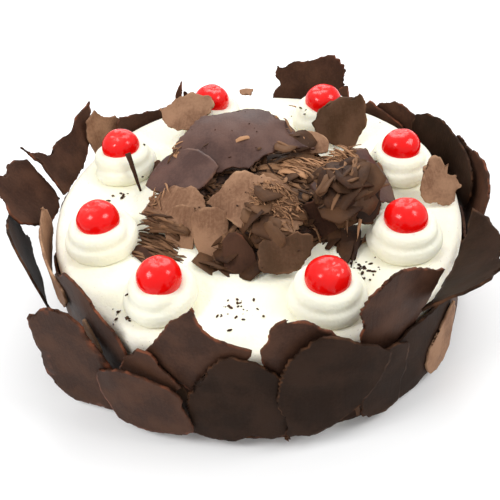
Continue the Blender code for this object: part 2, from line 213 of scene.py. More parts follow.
def cream_finish(name, dust_from=None, stain=None):
    """Whipped cream: matt, a little yellow in its hollows, with fine bubbles."""
    finish = Finish(name, roughness=0.55, subsurface_weight=0.25, subsurface_scale=0.004,
                    subsurface_radius=(1.0, 0.9, 0.6), specular_ior_level=0.35)
    colour = finish.mix(finish.grain(14 * MM), tint("FAF8E8"), tint("F5F2DA"))
    if dust_from:
        away = finish.node('ShaderNodeVectorMath', {"operation": 'LENGTH'},
                           {0: finish.node('ShaderNodeMapping', {}, {0: finish.place(), 3: (1, 1, 0)})}, 1)
        near_shards = finish.between(away, dust_from, COAT_RADIUS)
        colour = finish.mix(near_shards * finish.grain(6 * MM, 4) * 0.5, colour, tint("CDBBBB"))
        specks = finish.between(finish.grain(1.1 * MM, 2), 0.70, 0.76)
        colour = finish.mix(specks * (0.25 + 0.5 * near_shards), colour, tint("7A5A50"))
    if stain:
        away = finish.node('ShaderNodeVectorMath', {"operation": 'DISTANCE'},
                           {0: finish.place(), 1: stain}, 1)
        juice = 1 - finish.between(away + finish.grain(3 * MM) * 0.003, 2.5 * MM, 5.0 * MM)
        colour = finish.mix(juice * 0.75, colour, tint("F08AAA"))
    finish.feed({"Base Color": colour})
    finish.relief(finish.grain(1.6 * MM, 4) + 2 * finish.grain(7 * MM), 0.22 * MM)
    return finish.material


def add_piece(name, shape, finish, replaced=()):
    """Makes a shape a finished piece of the cake."""
    mesh = bpy.data.meshes.new(name)
    shape.to_mesh(mesh)
    shape.free()
    mesh.materials.append(finish)
    mesh.shade_smooth()
    piece = bpy.data.objects.new(name, mesh)
    bpy.context.scene.collection.objects.link(piece)
    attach(piece, "root")
    if replaced:
        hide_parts(*replaced)
    return piece


def direction(azimuth):
    """The level unit vector at an azimuth in degrees."""
    turn = math.radians(azimuth)
    return Vector((math.sin(turn), -math.cos(turn), 0))


coat = bmesh.new()
flat_rings = int((COAT_RADIUS - COAT_RIM_ROUND) / COAT_RING) + 1
outline = [(ring * COAT_RING, COAT_TOP) for ring in range(flat_rings)]
for step in range(90 // RIM_STEP + 1):
    turn = math.radians(90 - RIM_STEP * step)
    outline.append((COAT_RADIUS - COAT_RIM_ROUND * (1 - math.cos(turn)),
                    COAT_TOP - COAT_RIM_ROUND * (1 - math.sin(turn))))
outline += [(COAT_RADIUS, height * MM) for height in COAT_SIDE]
outline += [(COAT_RADIUS - 1.5 * MM, 0), (0, 0)]
ring = [coat.verts.new((radius, 0, height)) for radius, height in outline]
for first, second in zip(ring, ring[1:]):
    coat.edges.new((first, second))
bmesh.ops.spin(coat, geom=coat.verts[:] + coat.edges[:], cent=(0, 0, 0), axis=(0, 0, 1),
               angle=math.tau, steps=COAT_STEPS, use_merge=True)
bmesh.ops.remove_doubles(coat, verts=coat.verts, dist=0.01 * MM)
bmesh.ops.recalc_face_normals(coat, faces=coat.faces)
for vertex in coat.verts:
    reach = math.hypot(vertex.co.x, vertex.co.y)
    if vertex.co.z < 1 * MM:
        continue
    turn = math.atan2(vertex.co.y, vertex.co.x)
    knife = noise.noise(Vector((reach * 130, 1.1 * math.cos(turn), 1.1 * math.sin(turn) + 4)))
    lumps = noise.noise(vertex.co * 40) + 0.5 * noise.noise(vertex.co * 95)
    vertex.co += vertex.normal * (KNIFE_RIDGE * knife + COAT_LUMP * lumps)
add_piece("cream_coat", coat, cream_finish("coat_cream", dust_from=84 * MM), ["cake_body"])

# ---------------------------------------------------------------- piped dollops
# Eight dollops of whipped cream stand in a ring. Each is piped in one go with a plain round nozzle:
# a first turn on the coat, a smaller second turn on top of it, and a tail where the nozzle started.

DOLLOP_RING_RADIUS = 76.3 * MM
DOLLOPS = (                         # name, azimuth, size, azimuth that the tail points to
    ("front_left", -34, 1.00, 110),
    ("front_right", 21, 1.00, 200),
    ("left", -73, 1.04, 170),
    ("right", 60, 1.00, 230),
    ("left_back", -118, 0.98, -82),
    ("right_back", 102, 0.96, 150),
    ("back_left", -165, 0.97, 120),
    ("back_right", 147, 1.00, 60),
)
PIPING = 1.9                        # turns that the nozzle makes
PIPING_POINTS = 76
VOXEL = 0.75 * MM
FILL_REACH = 12.5 * MM              # the cream in the middle of the turns
FILL_HEIGHT = 4.4 * MM
FILL_LIFT = 3.4 * MM
DOLLOP_SINK = 0.6 * MM


def piped_rope(centre, size, tail):
    """The path and thickness of the cream as it leaves the nozzle."""
    for index in range(PIPING_POINTS):
        share = index / (PIPING_POINTS - 1)
        turn = math.radians(tail - 90) + share * PIPING * math.tau
        start = min(share / 0.09, 1)
        end = min((1 - share) / 0.12, 1)
        climb = max(0, min(1, (share * PIPING - 0.62) / 0.55))
        climb = climb * climb * (3 - 2 * climb)
        reach = (11.5 - 1.9 * climb + 2.2 * (1 - start) - 2.0 * (1 - end)) * MM * size
        thick = (5.9 - 0.8 * climb) * (0.35 + 0.65 * start ** 0.7) * (0.5 + 0.5 * end)
        height = (3.9 - 2.0 * (1 - start) + 5.4 * climb - 0.8 * (1 - end)) * MM
        spot = Vector((math.cos(turn) * reach, math.sin(turn) * reach, height))
        yield centre + spot, thick * MM


def solid_of(piece):
    """Bakes an object and its modifiers into a mesh, and drops the object."""
    seen = piece.evaluated_get(bpy.context.evaluated_depsgraph_get())
    mesh = bpy.data.meshes.new_from_object(seen)
    bpy.data.objects.remove(piece)
    return mesh


JUICE_SPOT = (66 * MM, -47 * MM, 66 * MM)
dollop_finish = cream_finish("dollop_cream", stain=JUICE_SPOT)
for name, azimuth, size, tail in DOLLOPS:
    centre = direction(azimuth) * DOLLOP_RING_RADIUS
    centre.z = CAKE_TOP
    curve = bpy.data.curves.new("rope", 'CURVE')
    curve.dimensions = '3D'
    curve.bevel_depth = 1
    curve.bevel_resolution = 5
    curve.use_fill_caps = True
    spline = curve.splines.new('POLY')
    spline.points.add(PIPING_POINTS - 1)
    for point, (place, thick) in zip(spline.points, piped_rope(centre, size, tail)):
        point.co = (*place, 1)
        point.radius = thick
    rope = bpy.data.objects.new("rope", curve)
    bpy.context.scene.collection.objects.link(rope)
    dollop = bmesh.new()
    dollop.from_mesh(solid_of(rope))
    bmesh.ops.create_uvsphere(dollop, u_segments=32, v_segments=16, radius=1,
                              matrix=Matrix.Translation(centre + Vector((0, 0, FILL_LIFT)))
                              @ Matrix.Diagonal((FILL_REACH, FILL_REACH, FILL_HEIGHT, 1)))
    mesh = bpy.data.meshes.new("dollop")
    dollop.to_mesh(mesh)
    dollop.free()
    lump = bpy.data.objects.new("dollop", mesh)
    bpy.context.scene.collection.objects.link(lump)
    fused = lump.modifiers.new("fused", 'REMESH')
    fused.mode = 'VOXEL'
    fused.voxel_size = VOXEL
    softened = lump.modifiers.new("softened", 'SMOOTH')
    softened.factor = 0.5
    softened.iterations = 3
    dollop = bmesh.new()
    dollop.from_mesh(solid_of(lump))
    for vertex in dollop.verts:
        around = vertex.co - centre
        level_ridges = noise.noise(Vector((around.x * 60, around.y * 60, around.z * 900)))
        lumps = noise.noise(vertex.co * 110)
        vertex.co += vertex.normal * (0.10 * level_ridges + 0.45 * lumps) * MM
        vertex.co.z = max(vertex.co.z, centre.z - DOLLOP_SINK)
    add_piece("dollop_cream_" + name, dollop, dollop_finish, ["dollop_" + name])

# ---------------------------------------------------------------- cherries
# A glazed cherry sits in each dollop. It is candied and wet, a little flattened, and gathered into small
# folds at the top round the small hollow where its stone came out. Round the hollow its red is painted
# pale pink, a painted reflection of the bright room.

CHERRY_RADIUS = 9.8 * MM
CHERRY_LIFT = 15.0 * MM
CHERRY_FLATNESS = 0.87

cherry = Finish("cherry_glaze", roughness=0.17, specular_ior_level=0.32)
pucker_and_reflection = cherry.node('ShaderNodeAttribute', {"attribute_name": "pucker_and_reflection"}, {}, 2)
cherry_colour = cherry.mix(cherry.grain(5 * MM, 3), tint("F60A06"), tint("E00305"))
# Pale pink round the pit: a painted reflection of the room in the hollow
cherry_colour = cherry.mix(pucker_and_reflection * cherry.grain(1.6 * MM, 3) * 0.5, cherry_colour, tint("FF6A62"))
cherry.feed({"Base Color": cherry_colour})
cherry.relief(cherry.grain(6 * MM, 1) + 0.25 * pucker_and_reflection * cherry.grain(1.5 * MM, 2), 0.3 * MM)

for index, (name, azimuth, size, _) in enumerate(DOLLOPS):
    fruit = bmesh.new()
    bmesh.ops.create_uvsphere(fruit, u_segments=56, v_segments=40, radius=1)
    at_pit = fruit.verts.layers.float.new("pucker_and_reflection")
    lean = Vector((math.sin(index * 2.4), math.cos(index * 2.4), 0)) * 0.24
    centre = direction(azimuth) * DOLLOP_RING_RADIUS
    centre.z = CAKE_TOP + CHERRY_LIFT
    reach = CHERRY_RADIUS * (0.5 + 0.5 * size)
    for vertex in fruit.verts:
        from_pit = (vertex.co - (Vector((0, 0, 1)) + lean).normalized()).length
        spokes = math.atan2(vertex.co.y - lean.y, vertex.co.x - lean.x)
        pull = math.exp(-(from_pit / 0.34) ** 2)
        folds = 0.028 * math.exp(-(from_pit / 0.6) ** 2) * math.sin(5 * spokes + index)
        # Weight round the pit: it shapes the folds and places the painted reflection there
        vertex[at_pit] = math.exp(-(from_pit / 0.55) ** 2)
        swell = 1 - 0.17 * pull + folds + 0.03 * noise.noise(vertex.co * 1.3 + Vector((index, 0, 0)))
        vertex.co *= swell * reach
        vertex.co.z *= CHERRY_FLATNESS
        vertex.co += centre
    add_piece("cherry_fruit_" + name, fruit, cherry.material, ["cherry_" + name])

# ---------------------------------------------------------------- wall of chocolate shards
# Broken sheets of chocolate stand round the side, pressed into the cream, the outer ones lying over
# the inner ones. They were poured thin and snapped by hand: one face is smooth and dark, the other
# dull and lighter, and the broken rim shows paler where the chocolate tore. The paler rim is also
# partly a painted highlight along the edges.

SHEET_SOLID = 1.3 * MM              # thickness of a shard's solid in the frame
SHEET_THIN = 1.15 * MM
CELL_CUTS = 7
RIM_GLOW = 0.8 * MM                 # width of the paler rim: partly lighter broken chocolate, partly a painted highlight
RIM_FADE = 3.2 * MM                 # how far in from the rim its raggedness is felt
RIM_NOISE = ((0.8, 90), (0.5, 300), (0.35, 700))    # depth (mm) and fineness
WAVE_NOISE = ((0.55, 42), (0.22, 120))
NIBBLE_FROM = 0.22
NIBBLE_DEPTH = 7
TOOTH = 2.6 * MM
SMOOTHINGS = 12
SAME_FACE = 0.55                    # cosine of the turn up to which a face belongs to the side
LOWEST = 0.7 * MM


def chocolate(name, deep, pale, palest, roughness, grainy=0.3, shine=0.1):
    """Chocolate: clouded, scraped lengthwise by the knife, and paler at its broken rim, partly as a painted
    highlight.
    """
    finish = Finish(name, specular_ior_level=shine)
    lay = finish.node('ShaderNodeUVMap', {"uv_map": "lay"}, {})
    cloud = finish.grain(16 * MM, 4)
    fine = finish.grain(1.3 * MM, 4, rough=0.65)
    scrape = finish.grain(1.0 * MM, 3, where=lay, stretch=(1, 22, 1))
    rim = finish.node('ShaderNodeAttribute', {"attribute_name": "rim"}, {}, 2)
    tone = finish.node('ShaderNodeAttribute', {"attribute_name": "tone"}, {}, 2)
    share = finish.between(cloud + 0.25 * fine, 0.48, 0.80)
    colour = finish.mix(share, deep, pale)
    colour = finish.mix(finish.between(fine * 0.5 + scrape * 0.5, 0.40, 0.72) * grainy, colour, pale)
    colour = finish.mix(tone, colour, palest)
    # Paler at the rim: partly lighter broken chocolate, partly a painted highlight along the edges
    colour = finish.mix(rim * finish.between(finish.grain(6 * MM, 4), 0.42, 0.70) * 0.8, colour, palest)
    finish.feed({"Base Color": colour, "Roughness": roughness + 0.22 * cloud})
    finish.relief(scrape * 0.5 + fine * 0.5 + cloud, 0.20 * MM)
    return finish.material


dark = chocolate("dark_chocolate", tint("38241B"), tint("4E3427"), tint("8A5038"), 0.42, shine=0.09)
# Darker copy for the front and outer shards and the sheet at the heap's right: partly painted shade where
# they face away from the light
deep = chocolate("deep_chocolate", tint("24170F"), tint("33231A"), tint("60402C"), 0.46, shine=0.06)
# Lighter, shinier copy for sheets that face up into the light: some bloom, and partly a painted sheen in its
# lighter mauve colour
bloom_and_sheen = chocolate("bloom_and_sheen_chocolate", tint("47302A"), tint("5F443B"), tint("7D5844"), 0.36, shine=0.26)
dull = chocolate("dull_chocolate", tint("75543F"), tint("9A765C"), tint("B89272"), 0.55, 0.6)
olive = chocolate("olive_chocolate", tint("46301F"), tint("5C4231"), tint("8A6448"), 0.42)


def lay_map(shape, outward):
    """Lays a flat map in metres over a sheet: across it and up it, as seen from outside."""
    face_to = Vector()
    for face in shape.faces:
        face_to += face.normal * face.calc_area()
    face_to.normalize()
    if face_to.dot(outward) < 0:
        face_to = -face_to
    across = Vector((0, 0, 1)).cross(face_to)
    across = across.normalized() if across.length > 0.05 else Vector((1, 0, 0))
    up = face_to.cross(across)
    middle = sum((vertex.co for vertex in shape.verts), Vector()) / len(shape.verts)
    lay = shape.loops.layers.uv.new("lay")
    for face in shape.faces:
        for corner in face.loops:
            offset = corner.vert.co - middle
            corner[lay].uv = (offset.dot(across), offset.dot(up))
    return across, up, middle


def shard_blank(solid, outward):
    """One face of a shard's solid, moved in to the middle of its thickness."""
    blank = bmesh.new()
    blank.from_mesh(solid.data)
    bmesh.ops.remove_doubles(blank, verts=blank.verts, dist=0.01 * MM)
    bmesh.ops.join_triangles(blank, faces=blank.faces, angle_face_threshold=math.radians(40),
                             angle_shape_threshold=math.radians(60))
    blank.normal_update()
    seed = max(blank.faces, key=lambda face: face.calc_area() * face.normal.dot(outward))
    kept = {seed}
    front = [seed]
    while front:
        face = front.pop()
        for edge in face.edges:
            for beside in edge.link_faces:
                if beside not in kept and beside.normal.dot(face.normal) > SAME_FACE:
                    kept.add(beside)
                    front.append(beside)
    bmesh.ops.delete(blank, geom=[face for face in blank.faces if face not in kept], context='FACES')
    blank.normal_update()
    for vertex in blank.verts:
        vertex.co -= vertex.normal * SHEET_SOLID / 2
    return blank


def break_sheet(blank, outward, seed, teeth=None, ragged=1.0, cuts=CELL_CUTS, waves=1.0, bites=()):
    """Turns a coarse middle surface into a broken sheet: finely divided, waved, ragged at its rim.

    Teeth are a direction on the sheet and a depth in mm: the knife left the rim there serrated.
    Bites are places on the sheet with a width and a depth in mm, where a bit broke off.
    """
    bmesh.ops.subdivide_edges(blank, edges=blank.edges[:], cuts=cuts, use_grid_fill=True)
    inner = [vertex for vertex in blank.verts if not vertex.is_boundary]
    for _ in range(SMOOTHINGS):
        bmesh.ops.smooth_vert(blank, verts=inner, factor=0.5,
                              use_axis_x=True, use_axis_y=True, use_axis_z=True)
    blank.normal_update()
    across, up, middle = lay_map(blank, outward)
    nudge = Vector((seed * 3.7, seed * 1.3, 0))
    rim = [vertex for vertex in blank.verts if vertex.is_boundary]
    nearest = KDTree(len(rim))
    shifts = []
    for index, vertex in enumerate(rim):
        nearest.insert(vertex.co, index)
        ends = [edge.other_vert(vertex).co for edge in vertex.link_edges if edge.is_boundary]
        out = (ends[0] - ends[-1]).cross(vertex.normal)
        inward = sum((face.calc_center_median() for face in vertex.link_faces), Vector())
        inward = inward / len(vertex.link_faces) - vertex.co
        out = out.normalized() if out.length > 0 else -inward.normalized()
        if out.dot(inward) > 0:
            out = -out
        spot = vertex.co + nudge
        size = ragged * sum(share * noise.noise(spot * fine) for share, fine in RIM_NOISE)
        bite = noise.noise(spot * 55 + Vector((9, 0, 0)))
        if bite > NIBBLE_FROM:
            size -= ragged * NIBBLE_DEPTH * (bite - NIBBLE_FROM)
        offset = vertex.co - middle
        for along, rise, wide, depth in bites:
            gap = math.hypot(offset.dot(across) - along * MM, offset.dot(up) - rise * MM)
            size -= depth * max(0, 1 - gap / (wide * 1.5 * MM))
        if teeth:
            way, depth = teeth
            facing = out.dot(across) * way[0] + out.dot(up) * way[1]
            if facing > 0.55:
                run = (vertex.co - middle).dot(up if abs(way[0]) > abs(way[1]) else across)
                size += depth * (abs((run / TOOTH) % 1 - 0.5) * 2 - 0.5)
        shifts.append(out * size * MM)
    nearest.balance()
    # Weight by the rim: it makes the rim paler, partly lighter broken chocolate and partly a painted
    # highlight
    at_rim = blank.verts.layers.float.new("rim")
    blank.verts.layers.float.new("tone")
    moves = []
    for vertex in blank.verts:
        _, index, distance = nearest.find(vertex.co)
        vertex[at_rim] = max(0, 1 - distance / RIM_GLOW)
        fade = max(0, 1 - distance / RIM_FADE)
        wave = waves * sum(share * noise.noise((vertex.co + nudge) * fine) for share, fine in WAVE_NOISE)
        moves.append(shifts[index] * fade + vertex.normal * wave * MM)
    for vertex, move in zip(blank.verts, moves):
        vertex.co += move
        vertex.co.z = max(vertex.co.z, LOWEST)
    return blank


def add_sheet(name, blank, finish, replaced=()):
    """Gives a broken sheet its thickness and makes it a piece."""
    bmesh.ops.recalc_face_normals(blank, faces=blank.faces)
    piece = add_piece(name, blank, finish, replaced)
    solid = piece.modifiers.new("thickness", 'SOLIDIFY')
    solid.thickness = SHEET_THIN
    solid.offset = 0
    return piece


# Sheets that face up into the light: their lighter mauve chocolate is partly painted sheen
BLOOM_AND_SHEEN = ("sheet_heap_back_big", "sheet_heap_right_curl", "shard_back_row_2")
DULL = ("shard_left_rim_strip", "shard_right_low_tan", "shard_left_back_tan", "sheet_back_flat",
        "sheet_heap_left", "sheet_heap_middle", "sheet_right_leaf")
OLIVE = ("sheet_back_right_leaf", "sheet_heap_front", "shard_back_row_6", "shard_back_row_3")
# Mostly front and outer shards, and the sheet at the heap's right: their darker chocolate is partly painted
# shade
DEEP = ("shard_front_middle", "shard_front_right_big", "shard_front_right_low", "shard_right_low",
        "shard_left_outer", "shard_right_back_rim", "sheet_heap_right_dark", "shard_right_rim")
# Where a sheet is bitten: across and up from its middle, how wide and how deep, in mm
BITES = {
    "shard_right_rim": ((2, 12, 5, 8), (-14, 14, 4, 6), (-24, 16, 3, 5), (20, 8, 4, 5), (-36, 4, 4, 4)),
    "shard_left_back_high": ((-16, 4, 6, 5), (6, 10, 4, 5), (-30, 0, 3, 4)),
    "shard_left_back_low": ((-2, 14, 4, 5), (18, 8, 4, 4)),
    "shard_left_outer": ((-26, 2, 4, 6), (-24, -14, 4, 5), (-20, 10, 3, 4)),
    "shard_right_back_outer": ((24, 4, 4, 6), (10, 10, 4, 4), (-10, 8, 3, 3)),
    "shard_back_right_outer": ((12, 4, 3, 4), (0, 8, 3, 3)),
    "shard_front_mid_inner": ((0, 22, 5, 4), (-12, 16, 3, 3)),
    "shard_back_right_high": ((-18, 8, 3, 3), (18, 8, 4, 4), (22, -4, 3, 3)),
    "sheet_heap_back_big": ((-24, -22, 8, 3), (24, -14, 8, 4), (0, -20, 6, 3)),
    "sheet_right_leaf": ((6, 4, 3, 3), (8, -8, 3, 3), (-6, -10, 3, 3)),
    "sheet_heap_middle": ((-20, 6, 6, 4), (8, -12, 5, 4), (-8, 8, 4, 3)),
    "sheet_heap_left": ((-8, 6, 4, 4), (10, -6, 4, 4), (0, -14, 4, 3)),
}
# Where the knife left teeth: the way that rim faces on the sheet, and how deep, in mm
SERRATED = {
    "shard_front_middle": ((-1, 0), 1.3),
    "shard_front_right_big": ((-1, 0), 1.2),
    "shard_front_right_high": ((-1, 0), 1.2),
    "shard_front_right_low": ((-1, 0), 1.0),
    "sheet_heap_back_big": ((0, 1), 1.0),
    "sheet_heap_middle": ((1, 0), 1.0),
    "shard_back_right_high": ((-1, 0), 1.6),
    "shard_left_outer": ((-1, 0), 1.4),
}


def chocolate_of(name):
    """The chocolate that a shard or sheet of the frame is made of."""
    if name in BLOOM_AND_SHEEN:
        return bloom_and_sheen
    if name in DULL:
        return dull
    if name in DEEP:
        return deep
    return olive if name in OLIVE else dark


shard_names = sorted(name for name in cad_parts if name.startswith("shard_"))
for index, name in enumerate(shard_names):
    low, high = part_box(name)
    outward = Vector(((low[0] + high[0]) / 2, (low[1] + high[1]) / 2, 0)).normalized()
    blank = shard_blank(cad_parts[name], outward)
    break_sheet(blank, outward, index + 1, SERRATED.get(name), 1.2, bites=BITES.get(name, ()))
    add_sheet(name.replace("shard", "chocolate_shard"), blank, chocolate_of(name),
              [name])

# ---------------------------------------------------------------- sheets of the heap
# The heap in the middle is topped with larger sheets: a broad one at its back in lighter mauve
# chocolate, partly bloom and partly painted sheen, dull tan ones over its front, a rolled one at its
# right, and a few leaves that lean on the cream behind.

sheet_names = sorted(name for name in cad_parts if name.startswith("sheet_"))
for index, name in enumerate(sheet_names):
    blank = shard_blank(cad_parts[name], Vector((0, 0, 1)))
    waves = 2.4 if name == "sheet_heap_back_big" else 1.2
    break_sheet(blank, Vector((0, 0, 1)), index + 61, SERRATED.get(name), 1.8, waves=waves,
                bites=BITES.get(name, ()))
    add_sheet(name.replace("sheet", "chocolate_sheet"), blank, chocolate_of(name),
              [name])

# ---------------------------------------------------------------- small loose sheets
# Smaller broken pieces of the same poured chocolate hang down the front of the heap, stand up behind
# the back cherries and lie on the cream. Each is bent while soft and then snapped to its outline.

PATCH_CORNERS = ((-1, -1, 0), (-1, 1, 2), (1, 1, 4), (1, -1, 6))
PATCH_SIDES = ((-1, 0, 1), (0, 1, 3), (1, 0, 5), (0, -1, 7))
# Name, azimuth, radius and height of its middle, heading, tilt, bend, finish and outline (mm, degrees)
SMALL_SHEETS = (
    ("broad_left", -98, 33, 73, -55, 26, 60, bloom_and_sheen,
     ((-14, -18), (-20, -6), (-15, 6), (-2, 12), (13, 12), (15, 0), (10, -12), (-2, -17))),
    ("drape_left", -55, 38, 66, -20, 50, 60, dull,
     ((-4, -18), (-10, -12), (-12, 0), (-5, 5), (3, 5), (4, -3), (4, -16), (0, -19))),
    ("drape_middle", -35, 35, 66, -10, 50, 50, dull,
     ((-2, -19), (-8, -10), (-10, 4), (-2, 8), (6, 6), (7, -5), (4, -17), (1, -20))),
    ("drape_right", 40, 33, 65, 5, 55, 60, dark,
     ((0, -15), (-3, -6), (-1, 3), (7, 6), (15, 4), (17, -5), (18, -15), (9, -18))),
    ("drape_front", -10, 45, 61, 0, 50, 60, dark,
     ((-2, -15), (-8, -7), (-8, 6), (-2, 10), (4, 3), (7, -4), (8, -13), (3, -16))),
    ("behind_heap", 180, 49, 70, 0, 35, 0, dark,
     ((-14, -6), (-14, 0), (-12, 4), (-2, 6), (8, 5), (12, 1), (13, -5), (0, -7))),
    ("behind_heap_right", 135, 41, 69, 15, 30, 0, dull,
     ((-9, -6), (-10, 0), (-7, 4), (0, 5), (8, 0), (10, -5), (8, -10), (0, -9))),
    ("spike_left", -151, 80, 71, -10, 78, 0, dark,
     ((-2, -12), (-2, -4), (0, 6), (3, 12), (4, 12), (3, 4), (2, -4), (1, -12))),
    ("spike_right", -157, 78, 68, 15, 74, 0, dark,
     ((1, -9), (-1, -4), (-4, 3), (-4, 8), (-2, 8), (1, 3), (4, -2), (4, -9))),
    ("back_strip", 146, 99, 60, -30, 75, 0, dark,
     ((-3, -8), (-4, -3), (-4, 2), (-1, 5), (2, 6), (3, 2), (4, -3), (3, -8))),
    ("tan_flake_back", 180, 100, 56.5, 0, 25, 0, dull,
     ((-3, -2), (-4, 0), (-4, 2), (0, 2.4), (4, 2), (4, 1), (2, -1), (0, -3))),
    ("front_chip", -33, 84, 58, -20, 80, 0, dark,
     ((-5, -9), (-5, -3), (-3, 3), (0, 7), (3, 9), (3, 5), (3, 0), (0, -8))),
    ("left_chip", -46, 104, 44, -46, 88, 0, dull,
     ((-2, -9), (-5, -2), (-5, 5), (-4, 9), (-2, 8), (2, 0), (5, -7), (3, -9))),
    ("curl_flake", 94, 62, 63, 40, 60, 12, dull,
     ((-4, -6), (-5, 0), (-3, 5), (0, 6), (3, 5), (5, 0), (4, -5), (0, -7))),
    ("shard_by_cherry", -119, 60, 56.5, -60, 40, 0, dark,
     ((-2, -6), (-3, 0), (-2, 5), (0, 7), (2, 5), (3, 0), (2, -5), (0, -6))),
    ("flat_by_heap", -57, 64, 56, -50, 14, 20, dark,
     ((-7, -2.5), (-8, 0), (-7, 3), (0, 3.2), (7, 3), (8, 0), (7, -3), (0, -3))),
)


def patch_point(points, x, y):
    """The place on a four-sided patch with curved sides, at x and y that both run from -1 to 1."""
    total = Vector((0, 0))
    for along, rise, index in PATCH_CORNERS:
        total += Vector(points[index]) * (1 + x * along) * (1 + y * rise) * (x * along + y * rise - 1) / 4
    for along, rise, index in PATCH_SIDES:
        share = (1 - x * x) * (1 + y * rise) / 2 if along == 0 else (1 + x * along) * (1 - y * y) / 2
        total += Vector(points[index]) * share
    return total


def cut_sheet(place, heading, tilt, bend, points, cells=4):
    """A bent sheet cut to an outline in mm, tilted up from flat and turned to its heading."""
    face_to = direction(heading)
    across = Vector((-face_to.y, face_to.x, 0))
    tip = math.radians(tilt)
    up = Vector((0, 0, 1)) * math.sin(tip) - face_to * math.cos(tip)
    normal = Vector((0, 0, 1)) * math.cos(tip) + face_to * math.sin(tip)
    blank = bmesh.new()
    bmesh.ops.create_grid(blank, x_segments=cells, y_segments=cells, size=1)
    for vertex in blank.verts:
        spot = patch_point(points, vertex.co.x, vertex.co.y) * MM
        sink = bend * MM - math.sqrt(max(0, (bend * MM) ** 2 - spot.x ** 2)) if bend else 0
        vertex.co = place + across * spot.x + up * spot.y - normal * sink
    return blank, normal


for index, (name, azimuth, reach, height, heading, tilt, bend, finish, points) in enumerate(SMALL_SHEETS):
    place = direction(azimuth) * reach * MM
    place.z = height * MM
    blank, normal = cut_sheet(place, heading, tilt, bend, points)
    break_sheet(blank, normal, index + 101, ragged=0.6, cuts=5, waves=0.6)
    add_sheet("small_sheet_" + name, blank, finish)

# ---------------------------------------------------------------- inner row of the wall
# Behind the standing shards, smaller broken pieces are pressed flat into the cream all round, so that
# hardly any cream shows between the shards or at their feet.

INNER_COUNT = 25
INNER_REACH = 100.9 * MM

chance = random.Random(41)
for index in range(INNER_COUNT):
    azimuth = 360 * index / INNER_COUNT + chance.uniform(-2, 2)
    wide = chance.uniform(14.5, 17.5)
    tall = chance.uniform(19.5, 21.5)
    peak = chance.uniform(-0.5, 0.5)
    points = tuple((x * wide, y * tall) for x, y in (
        (-0.9, -0.98), (-1.0, 0.0), (-chance.uniform(0.7, 1.0), chance.uniform(0.5, 0.9)), (peak, 1.0),
        (chance.uniform(0.7, 1.0), chance.uniform(0.5, 0.9)), (1.0, 0.0), (0.9, -0.98), (0.0, -1.0)))
    place = direction(azimuth) * INNER_REACH
    place.z = (tall + 0.8) * MM
    blank, normal = cut_sheet(place, azimuth, 90, INNER_REACH / MM, points)
    break_sheet(blank, normal, index + 141, ragged=0.8, cuts=4, waves=0.15)
    add_sheet("inner_shard_" + str(index + 1), blank, (dark, deep, olive)[index % 3])

# ---------------------------------------------------------------- core of the heap
# Under the sheets lies a packed mound of fine chocolate dust and broken shavings. It was heaped up
# loose on the cream and has settled, so it is rough all over.

CORE_SHARE = 0.94                   # its height beside the solid of the heap
CORE_NARROWED = 0.95
CORE_ROUGH = 0.9 * MM
core = bmesh.new()
core.from_mesh(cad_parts["shavings_heap"].data)
bmesh.ops.remove_doubles(core, verts=core.verts, dist=0.01 * MM)
bmesh.ops.subdivide_edges(core, edges=core.edges[:], cuts=3, use_grid_fill=True)
core.normal_update()
for vertex in core.verts:
    rough = noise.noise(vertex.co * 160) + 0.6 * noise.noise(vertex.co * 420)
    vertex.co += vertex.normal * rough * CORE_ROUGH
    vertex.co.x *= CORE_NARROWED
    vertex.co.y *= CORE_NARROWED
    vertex.co.z = CAKE_TOP + (vertex.co.z - CAKE_TOP) * CORE_SHARE
bmesh.ops.recalc_face_normals(core, faces=core.faces)
dust = Finish("chocolate_dust", roughness=0.7)
dust.feed({"Base Color": dust.mix(dust.between(dust.grain(2.2 * MM, 4), 0.35, 0.65),
                                  tint("2C1B15"), tint("5A3E2E"))})
dust.relief(dust.grain(0.9 * MM, 4), 0.6 * MM)
add_piece("heap_core", core, dust.material, ["shavings_heap"])

# ---------------------------------------------------------------- shavings of the heap
# Shavings scraped off a block with a knife: rolled curls, thin curved slivers, bent leaves and flat
# flakes. They fill the heap between its sheets and lie in drifts on top of them.

DROP_HEIGHT = 200 * MM

resting = []                        # all that a shaving can lie on
packed = []                         # the heap's core and the cake alone, under the sheets
for name in sheet_names + ["shavings_heap", "cake_body"] + ["dollop_" + row[0] for row in DOLLOPS]:
    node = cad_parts[name]
    resting.append(BVHTree.FromPolygons([vertex.co.copy() for vertex in node.data.vertices],
                                        [tuple(face.vertices) for face in node.data.polygons]))
    if name in ("shavings_heap", "cake_body"):
        packed.append(resting[-1])


def surface_below(x, y, trees):
    """Where something dropped at x and y comes to rest, and which way the surface faces there."""
    best = Vector((x, y, CAKE_TOP)), Vector((0, 0, 1))
    for tree in trees:
        spot, normal, _, _ = tree.ray_cast(Vector((x, y, DROP_HEIGHT)), Vector((0, 0, -1)))
        if spot and spot.z > best[0].z:
            best = spot, normal if normal.z > 0 else -normal
    return best


# Kind: cells along and across, width beside its length, and how far it curls in radians
SHAVING_KINDS = {
    "curl": ((10, 2), 0.36, 5.2),
    "sliver": ((8, 1), 0.07, 1.0),
    "strip": ((9, 3), 0.24, 0.9),
    "leaf": ((6, 4), 0.62, 0.8),
    "flake": ((3, 2), 0.6, 0.35),
}
SHAVING_THICK = 0.035               # beside its length


